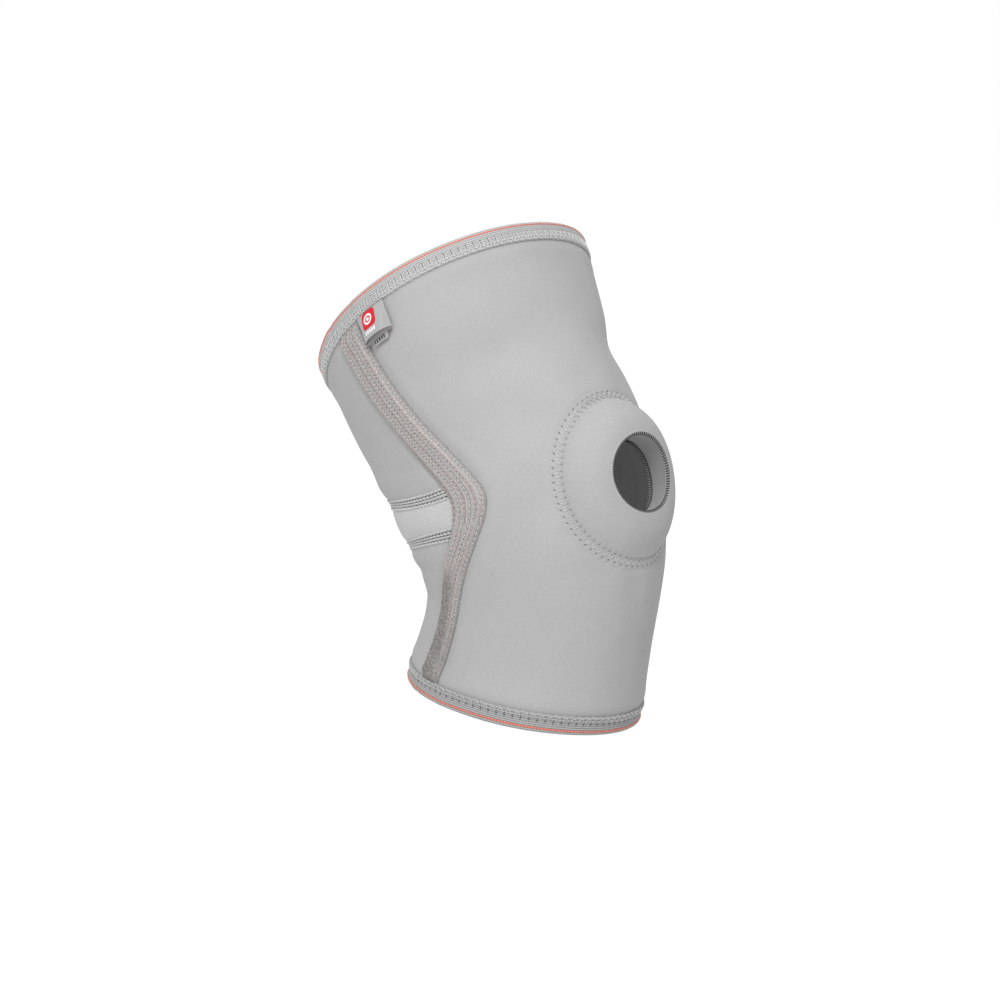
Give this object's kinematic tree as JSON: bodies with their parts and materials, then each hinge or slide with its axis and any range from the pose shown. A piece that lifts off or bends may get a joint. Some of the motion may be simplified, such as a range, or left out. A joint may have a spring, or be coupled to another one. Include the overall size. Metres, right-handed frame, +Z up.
{
  "type": "knee brace",
  "caption": "Pull-on knee support sleeve with a padded ring round an open kneecap hole, side stay casings, elastic bound hems and a side label.",
  "frame": {"origin": "centre of the knee's flexion axis, inside the sleeve", "axes": "+X across the knee, away from the label side; -Y to the front, through the kneecap hole; +Z up the leg"},
  "size_m": [0.1496, 0.1845, 0.2432],
  "materials": {
    "knit_neoprene": "matt knit face over neoprene",
    "ribbed_knit": "fine ribbed knit",
    "binding_tape": "ribbed elastic tape",
    "coral_yarn": "coral yarn",
    "sewing_thread": "polyester thread",
    "casing_tape": "woven tape",
    "pad_foam": "soft moulded foam",
    "spring_steel": "galvanised flat spiral",
    "stay_cap": "dipped plastic",
    "label_tape": "satin woven tape",
    "label_print": "printed"
  },
  "bodies": {
    "thigh": {"front_panel_thigh": "knit_neoprene", "rear_thigh_panel": "knit_neoprene", "top_binding": "binding_tape", "top_binding_stripe": "coral_yarn", "top_binding_stitch": "sewing_thread", "stay_cap_left_upper": "stay_cap", "stay_cap_right_upper": "stay_cap"},
    "knee": {"front_panel_knee": "knit_neoprene", "rear_thigh_panel_lower": "knit_neoprene", "popliteal_insert": "ribbed_knit", "rear_calf_panel_upper": "knit_neoprene", "patella_ring_facing": "knit_neoprene", "patella_ring_pad": "pad_foam", "patella_ring_zigzag": "sewing_thread", "patella_ring_overlock": "sewing_thread", "side_casing_left": "casing_tape", "casing_stitch_left": "sewing_thread", "spiral_stay_left": "spring_steel", "side_casing_right": "casing_tape", "casing_stitch_right": "sewing_thread", "spiral_stay_right": "spring_steel", "insert_seam_upper": "sewing_thread", "insert_seam_lower": "sewing_thread"},
    "calf": {"front_panel_calf": "knit_neoprene", "rear_calf_panel": "knit_neoprene", "bottom_binding": "binding_tape", "bottom_binding_stripe": "coral_yarn", "bottom_binding_stitch": "sewing_thread", "stay_cap_left_lower": "stay_cap", "stay_cap_right_lower": "stay_cap"},
    "label": {"label_loop": "label_tape", "label_emblem": "label_print"}
  },
  "joints": [
    {"name": "knee_flex", "type": "hinge", "parent": "thigh", "child": "knee", "pos_m": [0, 0, 0], "axis": [1, 0, 0], "range_deg": [-27, 26], "stiffness_Nm_per_rad": 1, "deforming": ["side_casing_left", "casing_stitch_left", "spiral_stay_left", "side_casing_right", "casing_stitch_right", "spiral_stay_right"]},
    {"name": "calf_flex", "type": "hinge", "parent": "knee", "child": "calf", "pos_m": [0, 0, 0], "axis": [1, 0, 0], "range_deg": [-13.5, 13], "stiffness_Nm_per_rad": 1, "deforming": ["side_casing_left", "casing_stitch_left", "spiral_stay_left", "side_casing_right", "casing_stitch_right", "spiral_stay_right"]},
    {"name": "label_flip", "type": "hinge", "parent": "thigh", "child": "label", "pos_m": [-0.07221, 0.03574, 0.11581], "axis": [-0.1566, 0.8103, -0.5647], "range_deg": [0, 100]}
  ],
  "couplings": [
    {"joint": "calf_flex", "follows": "knee_flex", "ratio": 0.5}
  ]
}
